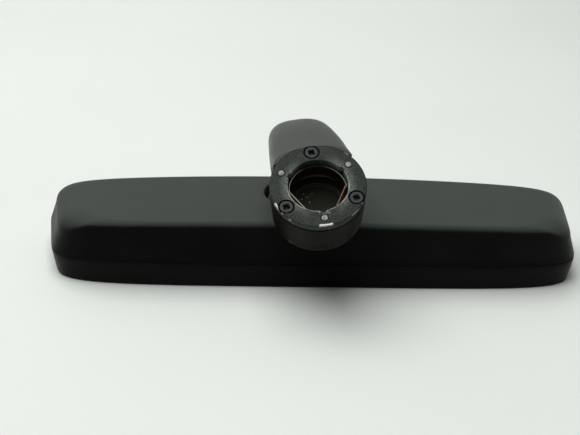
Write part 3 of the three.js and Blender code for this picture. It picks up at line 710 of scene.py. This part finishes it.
class Look:
    """A procedural material built step by step on a Principled shader."""

    def __init__(self, name, color, roughness, metallic=0.0, specular=0.5, sheen=0.0):
        self.material = bpy.data.materials.new(name)
        self.material.use_nodes = True
        self.tree = self.material.node_tree
        self.shader = self.tree.nodes["Principled BSDF"]
        self.shader.inputs["Base Color"].default_value = (*color, 1)
        self.shader.inputs["Roughness"].default_value = roughness
        self.shader.inputs["Metallic"].default_value = metallic
        self.shader.inputs["Specular IOR Level"].default_value = specular
        self.shader.inputs["Sheen Weight"].default_value = sheen
        self.shader.inputs["Sheen Roughness"].default_value = 0.45
        where = self.node("ShaderNodeTexCoord")
        self.place = where.outputs["Object"]
        self.facing = where.outputs["Normal"]
        self.color = None
        self.normal = None

    def node(self, kind, **settings):
        made = self.tree.nodes.new(kind)
        for key, value in settings.items():
            setattr(made, key, value)
        return made

    def link(self, source, target):
        self.tree.links.new(source, target)

    def noise(self, size, detail=3.0, stretch=(1, 1, 1), roughness=0.5):
        """Noise whose lumps are about size millimetres across."""
        spread = self.node("ShaderNodeMapping")
        spread.inputs["Scale"].default_value = stretch
        self.link(self.place, spread.inputs["Vector"])
        made = self.node("ShaderNodeTexNoise")
        made.inputs["Scale"].default_value = 1 / (size * MM)
        made.inputs["Detail"].default_value = detail
        made.inputs["Roughness"].default_value = roughness
        self.link(spread.outputs["Vector"], made.inputs["Vector"])
        return made.outputs["Fac"]

    def noise_along(self, value, per_mm, detail):
        """Noise that changes along one measure only, so it draws fine lines."""
        made = self.node("ShaderNodeTexNoise", noise_dimensions="1D")
        made.inputs["Scale"].default_value = per_mm
        made.inputs["Detail"].default_value = detail
        self.link(value, made.inputs["W"])
        return made.outputs["Fac"]

    def cells(self, size):
        made = self.node("ShaderNodeTexVoronoi", feature="F1")
        made.inputs["Scale"].default_value = 1 / (size * MM)
        self.link(self.place, made.inputs["Vector"])
        return made.outputs["Distance"]

    def span(self, value, low, high, to_low=0.0, to_high=1.0):
        made = self.node("ShaderNodeMapRange")
        for name, number in (("From Min", low), ("From Max", high), ("To Min", to_low), ("To Max", to_high)):
            made.inputs[name].default_value = number
        self.link(value, made.inputs["Value"])
        return made.outputs["Result"]

    def math(self, operation, first, second):
        made = self.node("ShaderNodeMath", operation=operation)
        for socket, value in zip(made.inputs, (first, second)):
            if isinstance(value, (int, float)):
                socket.default_value = value
            else:
                self.link(value, socket)
        return made.outputs[0]

    def distance(self, point):
        """Millimetres from a point of the frame."""
        made = self.node("ShaderNodeVectorMath", operation="DISTANCE")
        self.link(self.place, made.inputs[0])
        made.inputs[1].default_value = point
        return self.math("MULTIPLY", made.outputs["Value"], 1 / MM)

    def along(self, axis, origin):
        """Millimetres along an axis from an origin."""
        made = self.node("ShaderNodeVectorMath", operation="DOT_PRODUCT")
        self.link(self.place, made.inputs[0])
        made.inputs[1].default_value = Vector(axis) / MM
        return self.math("SUBTRACT", made.outputs["Value"], Vector(origin).dot(Vector(axis)) / MM)

    def facing_up(self, low, high):
        """0 where the surface is steep, 1 where it lies level and looks up."""
        parts = self.node("ShaderNodeSeparateXYZ")
        self.link(self.facing, parts.inputs[0])
        return self.span(parts.outputs["Z"], low, high)

    def band(self, value, middle, half, soft):
        """1 within half of a middle value, fading to 0 over soft."""
        apart = self.math("ABSOLUTE", self.math("SUBTRACT", value, middle), 0)
        return self.span(apart, half + soft, half)

    def product(self, first, *others):
        for other in others:
            first = self.math("MULTIPLY", first, other)
        return first

    def patch(self, point, radius, ragged=0.6, size=1.2):
        """A ragged spot round a point: 1 inside, 0 outside."""
        wobble = self.math("MULTIPLY", self.noise(size, 4), radius * ragged)
        return self.span(self.math("ADD", self.distance(point), wobble), radius * 1.2, radius * 1.02)

    def tint(self, factor, color, strength=1.0):
        """Mixes a colour in where factor is high."""
        mix = self.node("ShaderNodeMix", data_type="RGBA")
        if self.color is None:
            mix.inputs[6].default_value = self.shader.inputs["Base Color"].default_value
        else:
            self.link(self.color, mix.inputs[6])
        mix.inputs[7].default_value = (*color, 1)
        scaled_factor = self.math("MULTIPLY", factor, strength)
        self.link(scaled_factor, mix.inputs[0])
        self.color = mix.outputs[2]
        self.link(self.color, self.shader.inputs["Base Color"])

    def rough(self, factor, low, high):
        self.link(self.span(factor, 0, 1, low, high), self.shader.inputs["Roughness"])

    def metal(self, factor):
        self.link(factor, self.shader.inputs["Metallic"])

    def bump(self, height, depth, strength=1.0):
        """Relief of a depth in millimetres."""
        made = self.node("ShaderNodeBump")
        made.inputs["Strength"].default_value = strength
        made.inputs["Distance"].default_value = depth * MM
        self.link(height, made.inputs["Height"])
        if self.normal is not None:
            self.link(self.normal, made.inputs["Normal"])
        self.normal = made.outputs["Normal"]
        self.link(self.normal, self.shader.inputs["Normal"])


def soft_touch(name, color, top_light_color, roughness, specular, sheen):
    """Matt soft-touch plastic with a pebble grain and a little dust, and painted overhead light: far paler where
    it looks up.
    """
    look = Look(name, color, roughness, specular=specular, sheen=sheen)
    # Painted light: faces that look up take a far paler colour, standing in for the overhead light on the top;
    # steep walls keep the near-black base.
    look.tint(look.facing_up(0.35, 0.92), top_light_color)
    lighter = tuple(c * 1.25 for c in top_light_color)
    # The pebble grain and smears are real texture, but they mix in a paler tone of the painted top light, and on
    # upward faces only.
    grain = look.product(look.span(look.noise(0.5, 2), 0.45, 0.8), look.facing_up(-0.1, 0.7))
    look.tint(grain, lighter, 0.35)
    smears = look.product(look.span(look.noise(38, 4), 0.42, 0.75), look.facing_up(-0.1, 0.7))
    look.tint(smears, lighter, 0.3)
    dust = look.product(look.span(look.cells(3.1), 0.07, 0.03), look.span(look.noise(9, 2), 0.5, 0.62))
    look.tint(dust, (0.12, 0.125, 0.12), 0.35)
    look.rough(look.noise(24, 4), roughness - 0.07, roughness + 0.07)
    look.bump(look.noise(0.42, 3), 0.05, 0.55)
    look.bump(look.noise(60, 1), 0.25, 0.25)
    return look.material


def smooth_cover(name, color):
    """The arm's cover: smoother, with soft smears and hairline rub marks along its length."""
    look = Look(name, color, 0.5, specular=0.35, sheen=0.15)
    lighter = tuple(c * 1.8 for c in color)
    look.tint(look.span(look.noise(16, 4), 0.45, 0.8), lighter, 0.3)
    look.tint(look.span(look.noise(2.4, 5, (1, 0.06, 1)), 0.62, 0.8), (0.2, 0.2, 0.2), 0.12)
    look.rough(look.noise(12, 4), 0.42, 0.58)
    look.bump(look.noise(0.35, 3), 0.03, 0.45)
    look.bump(look.noise(22, 2), 0.15, 0.25)
    return look.material


def foot_point(x, y, z):
    return FOOT @ scaled((x, y, z))


class FootPlace:
    """Where a point lies in the foot's own frame: x, y, height, radius and angle in degrees."""

    def __init__(self, look):
        turn = FOOT.to_3x3()
        self.x, self.y, self.height = (look.along(turn.col[i], FOOT.translation) for i in range(3))
        x_square, y_square = (look.math("MULTIPLY", side, side) for side in (self.x, self.y))
        self.radius = look.math("SQRT", look.math("ADD", x_square, y_square), 0)
        self.angle = look.math("MULTIPLY", look.math("ARCTAN2", self.y, self.x), 180 / math.pi)


def edge_wear(look, place):
    """Bare metal along the ring's outer edge, in short ragged streaks."""
    wobble = look.math("MULTIPLY", look.math("SUBTRACT", look.noise(0.7, 4), 0.5), 1.1)
    radius = look.math("ADD", place.radius, wobble)
    height = look.math("ADD", place.height, wobble)
    worn = None
    for middle, half, reach, wide, level, high, strength in EDGE_STREAKS:
        streak = look.product(look.band(place.angle, middle, half, 1.2),
                              look.band(radius, reach, wide, 0.25),
                              look.band(height, level, high, 0.2), strength)
        worn = streak if worn is None else look.math("MAXIMUM", worn, streak)
    return worn


def painted_hole_shade(look, angles, circle, radius):
    """Painted shade: a black ring round each fastener, where shadow falls into its hole."""
    shade_ring = None
    for degrees in angles:
        spot = look.span(look.distance(foot_point(*polar(circle, degrees))), radius + 0.12, radius)
        shade_ring = spot if shade_ring is None else look.math("MAXIMUM", shade_ring, spot)
    return shade_ring


def painted_ring():
    """Thin black paint over a cast ring: speckled, rubbed beside the bore, bare on its outer edge."""
    look = Look("ring_paint", (0.0145, 0.0175, 0.016), 0.5, specular=0.12)
    place = FootPlace(look)
    look.tint(look.span(look.noise(0.4, 3), 0.52, 0.63), (0.09, 0.1, 0.093), 0.65)
    look.tint(look.span(look.cells(0.8), 0.3, 0.1), (0.006, 0.007, 0.0065), 0.6)
    look.tint(look.span(look.noise(6, 4), 0.45, 0.7), (0.045, 0.05, 0.048), 0.45)
    look.tint(look.span(look.noise_along(place.radius, 3.2, 2), 0.55, 0.72), (0.07, 0.077, 0.072), 0.3)
    beside = look.product(look.span(place.radius, 16.8, 13.3),
                          look.span(look.math("ABSOLUTE", place.x, 0), 5, 10.5),
                          look.span(look.noise(0.6, 4), 0.34, 0.6))
    look.tint(beside, (0.21, 0.225, 0.215), 0.8)
    lip = look.product(look.band(place.radius, FOOT_BORE_R + 0.2, 0.22, 0.2),
                       look.span(place.y, 3, -2), look.span(look.noise(1.8, 3), 0.38, 0.55))
    notch = look.product(look.band(place.radius, FOOT_BORE_R + 0.9, 1.1, 0.3),
                         look.band(place.angle, -90, 9, 2), look.span(look.noise(0.7, 4), 0.5, 0.62))
    rubbed = look.math("MAXIMUM", lip, notch)
    look.tint(rubbed, (0.42, 0.43, 0.41), 0.75)
    worn = edge_wear(look, place)
    look.tint(worn, (0.6, 0.59, 0.56))
    # Painted shade: a black ring round each screw and pin, for the shadow round it.
    shade_rings = look.math("MAXIMUM", painted_hole_shade(look, SCREW_ANGLES, SCREW_CIRCLE_R, SCREW_SHADE_R),
                     painted_hole_shade(look, PIN_ANGLES, PIN_CIRCLE_R, PIN_SHADE_R))
    look.tint(shade_rings, (0.0008, 0.0008, 0.0008))
    look.metal(look.math("MULTIPLY", worn, 0.7))
    look.rough(look.noise(1.3, 3), 0.42, 0.62)
    look.bump(look.noise(0.42, 3), 0.09, 0.9)
    look.bump(worn, -0.05, 0.6)
    return look.material


def painted_casting():
    """The foot's cup: near-black paint over fine turned lines, with a mould line down its front, a painted
    highlight on one flank and painted light in its cavity.
    """
    look = Look("casting_paint", (0.002, 0.0022, 0.0015), 0.4, specular=0.06)
    place = FootPlace(look)
    lines = look.noise_along(place.height, 2.6, 3)
    look.tint(look.span(lines, 0.5, 0.7), (0.022, 0.0225, 0.018), 0.6)
    look.tint(look.span(look.noise(1.6, 5), 0.55, 0.75), (0.024, 0.025, 0.02), 0.5)
    mould = look.product(look.band(place.x, MOULD_LINE_X, 0.12, 0.2), look.span(place.y, -10, -14))
    look.tint(mould, (0.03, 0.03, 0.026), 0.3)
    # Painted highlight: a paler band down one flank, for light bounced from the bright floor and backdrop beside
    # it.
    flank_highlight = look.product(look.band(place.angle, -28, 12, 18), look.span(place.height, -3, -9))
    look.tint(flank_highlight, (0.04, 0.041, 0.033), 0.75)
    speck = look.patch(foot_point(*polar(19.95, 224, -20.6)), 1.15, 0.7, 0.6)
    look.tint(speck, (0.15, 0.042, 0.025), 0.85)
    # Painted light: the cavity's walls are painted far paler than the near-black paint outside, standing in for
    # light falling in through the bore.
    inside = look.product(look.span(place.radius, CAVITY_R + 0.4, CAVITY_R + 0.1),
                          look.span(place.height, -4.2, -4.6))
    look.tint(inside, (0.2, 0.215, 0.175))
    # Painted light on the cavity's floor, dimmer than on its walls.
    floor = look.product(inside, look.span(place.height, -CAVITY_DEPTH + 2.6, -CAVITY_DEPTH + 2.2))
    look.tint(floor, (0.018, 0.02, 0.015))
    # Painted highlight: a paler line along the edge of the floor's step.
    ledge = look.product(look.band(place.radius, FLOOR_R, 0.12, 0.15), inside)
    look.tint(ledge, (0.09, 0.1, 0.085), 0.8)
    strewn = look.product(look.band(place.x, -4.5, 3.5, 1.5), look.band(place.y, 5.5, 2.5, 1.5), floor)
    crumbs = look.product(look.span(look.cells(1.5), 0.34, 0.16), strewn,
                          look.span(look.noise(2.2, 2), 0.46, 0.54))
    look.tint(crumbs, (0.32, 0.33, 0.29), 0.85)
    look.rough(look.noise(3, 3), 0.36, 0.52)
    look.bump(lines, 0.07, 0.6)
    look.bump(look.noise(0.45, 3), 0.035, 0.5)
    return look.material


def spring_bronze():
    """Spring bronze with brown tarnish, painted shade that turns it almost black towards the back, and sheared top
    edges painted pale grey as bare metal and as a painted highlight.
    """
    look = Look("spring_bronze", (0.5, 0.185, 0.09), 0.45, metallic=0.2)
    place = FootPlace(look)
    look.tint(look.span(look.noise(2.5, 4), 0.45, 0.75), (0.4, 0.14, 0.07), 0.6)
    look.tint(look.span(look.noise(0.7, 3), 0.6, 0.78), (0.42, 0.22, 0.12), 0.6)
    # Painted shade: almost black towards the back, where the cavity is in shade.
    look.tint(look.span(place.y, -1, 2), (0.004, 0.002, 0.0015), 0.988)
    top = -RING_THICK - GAP
    edge = look.span(place.height, top - 0.2, top - 0.1)
    tarnished = look.product(edge, look.band(place.angle, SPRING_FLATS[1] - 360, 25, 3))
    look.tint(tarnished, (0.12, 0.05, 0.032), 0.9)
    # Bare metal and painted highlight: the sheared top edges at the sides turn pale grey where light comes down
    # through the bore.
    edge_highlight = look.product(edge, look.span(look.math("ABSOLUTE", place.x, 0), 4, 8),
                          look.span(tarnished, 1, 0))
    look.tint(edge_highlight, (0.22, 0.21, 0.19), 0.9)
    look.rough(look.noise(1.5, 3), 0.32, 0.55)
    look.bump(look.noise(0.3, 3), 0.03, 0.5)
    return look.material


def bare_metal(name, color, roughness, grain=0.4, depth=0.02, dirt=0.4):
    look = Look(name, color, roughness, metallic=1.0)
    darker = tuple(c * 0.35 for c in color)
    look.tint(look.span(look.noise(2.2, 4), 0.5, 0.8), darker, dirt)
    look.rough(look.noise(1.1, 3), roughness - 0.1, roughness + 0.12)
    look.bump(look.noise(grain, 3), depth, 0.6)
    return look.material


def black_screw(name, recess=None):
    """Blackened steel. If a recess height is given, the cross below it is painted black, as painted shade in the
    recess.
    """
    look = Look(name, (0.028, 0.028, 0.03), 0.45, metallic=0.2, specular=0.2)
    look.tint(look.span(look.noise(0.5, 3), 0.55, 0.72), (0.09, 0.088, 0.092), 0.5)
    if recess is not None:
        place = FootPlace(look)
        # Painted shade: the cross recess turns black below the given height.
        look.tint(look.span(place.height, recess, recess - 0.1), (0.0008, 0.0008, 0.0008))
    look.rough(look.noise(0.8, 3), 0.38, 0.55)
    look.bump(look.noise(0.25, 3), 0.02, 0.5)
    return look.material


def rivet_steel():
    """The pins' hammered ends: dull grey with darker dents, and painted shade round their foot."""
    look = Look("rivet_steel", (0.29, 0.305, 0.29), 0.5, metallic=0.4, specular=0.4)
    look.tint(look.span(look.noise(0.9, 3), 0.47, 0.56), (0.07, 0.075, 0.07), 0.8)
    place = FootPlace(look)
    # Painted shade: each pin darkens below 0.12 mm above the ring's face, where shade falls into its hole.
    look.tint(look.span(place.height, 0.12, -0.05), (0.03, 0.03, 0.03), 0.8)
    look.rough(look.noise(0.6, 3), 0.4, 0.6)
    look.bump(look.noise(0.5, 3), 0.08, 0.8)
    return look.material


def silvered_glass():
    """Silvered glass with faint wipe marks."""
    look = Look("mirror_glass", (0.86, 0.9, 0.885), 0.02, metallic=1.0)
    look.tint(look.span(look.noise(30, 3), 0.55, 0.85), (0.8, 0.86, 0.85), 0.4)
    look.rough(look.span(look.noise(18, 4, (1, 3, 1)), 0.45, 0.8), 0.012, 0.05)
    return look.material


def moulded(name, color, roughness, grain=0.6):
    """Plain moulded plastic."""
    look = Look(name, color, roughness)
    look.tint(look.span(look.noise(9, 3), 0.45, 0.8), tuple(c * 0.8 for c in color), 0.5)
    look.rough(look.noise(4, 3), roughness - 0.08, roughness + 0.08)
    look.bump(look.noise(grain, 3), 0.03, 0.4)
    return look.material


def foam():
    look = Look("foam", (0.03, 0.03, 0.028), 0.95, specular=0.15)
    look.tint(look.span(look.cells(0.5), 0.4, 0.1), (0.008, 0.008, 0.008), 0.8)
    look.rough(look.noise(2, 2), 0.9, 0.99)
    look.bump(look.cells(0.5), 0.15, 0.8)
    return look.material


# ---- Assembly ----

# Painted light: each soft-touch plastic's second colour is the paler painted top light on faces that look up.
SHELL = soft_touch("shell_soft_touch", (0.001, 0.0012, 0.0009), (0.041, 0.0458, 0.0425), 0.5, 0.035, 0.09)
BEZEL = soft_touch("bezel_soft_touch", (0.0016, 0.0018, 0.0015), (0.012, 0.013, 0.012), 0.5, 0.04, 0.15)
COVER = smooth_cover("cover_smooth", (0.0152, 0.0169, 0.0151))
STEEL = bare_metal("steel", (0.56, 0.56, 0.55), 0.32)
PIN_STEEL = rivet_steel()
ZINC = bare_metal("zinc", (0.38, 0.385, 0.385), 0.46, 0.8, 0.06)
SCREW = black_screw("screw_black")
RING_SCREW = black_screw("ring_screw_black", -0.3)
LINER = moulded("liner", (0.62, 0.58, 0.48), 0.42)
CARRIER = moulded("carrier", (0.02, 0.021, 0.021), 0.65)


def build_head():
    finished(rear_shell(), "mirror_head", ["rear_shell"], SHELL)
    finished(front_bezel(), "mirror_head", ["front_bezel"], BEZEL)
    finished(mirror_glass(), "mirror_head", ["mirror_glass"], silvered_glass())
    finished(day_night_lever(), "day_night_lever", ["day_night_lever"], BEZEL)


def build_arm():
    cover, panel = arm_covers()
    finished(cover, "arm", ["arm_cover"], COVER)
    finished(panel, "arm", ["arm_underside_cover"], COVER)
    finished(foot_casting(), "arm", ["foot_casting"], painted_casting())
    finished(foot_ring(), "arm", ["foot_ring"], painted_ring())
    finished(retaining_spring(), "arm", ["retaining_spring"], spring_bronze())
    for index, degrees in enumerate(SCREW_ANGLES, 1):
        x, y, _ = polar(SCREW_CIRCLE_R, degrees)
        screw = countersunk(f"ring_screw_{index}_fine", RING_SCREW_HEAD_R, FOOT_SCREW_R, 12, 40 + 8 * index)
        placed(shifted(screw, x, y, -0.1), FOOT)
        finished(screw, "arm", [f"ring_screw_{index}"], RING_SCREW)
    for index, degrees in enumerate(PIN_ANGLES, 1):
        x, y, _ = polar(PIN_CIRCLE_R, degrees)
        pin = placed(shifted(ring_pin(f"ring_pin_{index}_fine"), x, y, 0), FOOT)
        finished(pin, "arm", [f"ring_pin_{index}"], PIN_STEEL)
    screw = pan_screw("cover_screw_fine", 2.6, 1.6, 1.25, 12)
    screw.data.transform(Matrix.Rotation(math.pi, 4, "X"))
    placed(shifted(screw, COVER_SCREW[0], COVER_SCREW[1], COVER_SCREW[2] - GAP), ARM)
    finished(screw, "arm", ["cover_screw"], SCREW)


def dress_frame():
    """Gives the carried-over frame nodes their materials."""
    looks = {
        "steel": STEEL, "zinc": ZINC, "liner_plastic": LINER, "carrier_plastic": CARRIER,
        "foam": foam(), "black_steel": SCREW,
    }
    for part in frame["record"]["subparts"]:
        node = frame["nodes"][part["node"]]
        if node.hide_render:
            continue
        node.data.materials.clear()
        node.data.materials.append(looks[part["material_slot"]])


# ---- Stage, light and camera ----


LIGHT_COLOR = (0.955, 1.0, 0.945)


def stage():
    """A pale table that sweeps up into the backdrop."""
    half, front, bend, radius, top = 2200, -1500, 420, 420, 2000
    section = [(front, 0), (bend, 0)]
    section += [(bend + radius * math.sin(a), radius * (1 - math.cos(a)))
                for a in (math.radians(90 * i / 24) for i in range(1, 25))]
    section.append((bend + radius, top))
    points = []
    for y, z in section:
        points += [(-half, y, z + RIM_Z), (half, y, z + RIM_Z)]
    faces = [(2 * i, 2 * i + 1, 2 * i + 3, 2 * i + 2) for i in range(len(section) - 1)]
    sweep = mesh_object("sweep", points, faces)
    sweep.data.polygons.foreach_set("use_smooth", [True] * len(faces))
    look = Look("sweep_paper", (0.80, 0.80, 0.80), 0.6, specular=0.3)
    look.tint(look.span(look.noise(220, 3), 0.4, 0.75), (0.76, 0.76, 0.765), 0.5)
    sweep.data.materials.append(look.material)


def area_light(name, place, aim, size, power):
    light = bpy.data.lights.new(name, "AREA")
    light.shape = "RECTANGLE"
    light.size, light.size_y = size
    light.energy = power
    light.color = LIGHT_COLOR
    made = bpy.data.objects.new(name, light)
    made.location = place
    made.rotation_euler = (Vector(aim) - Vector(place)).to_track_quat("-Z", "Y").to_euler()
    bpy.context.scene.collection.objects.link(made)


def lighting():
    area_light("overhead", (-0.3, -0.08, 1.25), (0, -0.05, 0), (1.9, 1.1), 21)
    world = bpy.data.worlds.new("studio")
    world.use_nodes = True
    background = world.node_tree.nodes["Background"]
    background.inputs["Color"].default_value = (*LIGHT_COLOR, 1)
    background.inputs["Strength"].default_value = 0.14
    scene = bpy.context.scene
    scene.world = world
    scene.view_settings.view_transform = "Standard"


CAMERA_TARGET = (-0.01178, 0, 0.02052)
CAMERA_DISTANCE = 0.5766
CAMERA_AZIMUTH = -3.23
CAMERA_ELEVATION = 21.82
CAMERA_ROLL = 2.1
CAMERA_LENS = 75.1


def camera():
    azimuth, elevation = math.radians(CAMERA_AZIMUTH), math.radians(CAMERA_ELEVATION)
    back = Vector((math.sin(azimuth) * math.cos(elevation), -math.cos(azimuth) * math.cos(elevation),
                   math.sin(elevation)))
    level = Vector((0, 0, 1)).cross(back).normalized()
    upright = back.cross(level)
    roll = math.radians(CAMERA_ROLL)
    right = level * math.cos(roll) + upright * math.sin(roll)
    up = back.cross(right)
    data = bpy.data.cameras.new("camera")
    data.lens = CAMERA_LENS
    data.sensor_width = 36
    made = bpy.data.objects.new("camera", data)
    turn = Matrix((right, up, back)).transposed().to_4x4()
    made.matrix_world = Matrix.Translation(Vector(CAMERA_TARGET) + back * CAMERA_DISTANCE) @ turn
    bpy.context.scene.collection.objects.link(made)
    bpy.context.scene.camera = made


camera()
build_head()
build_arm()
dress_frame()
stage()
lighting()
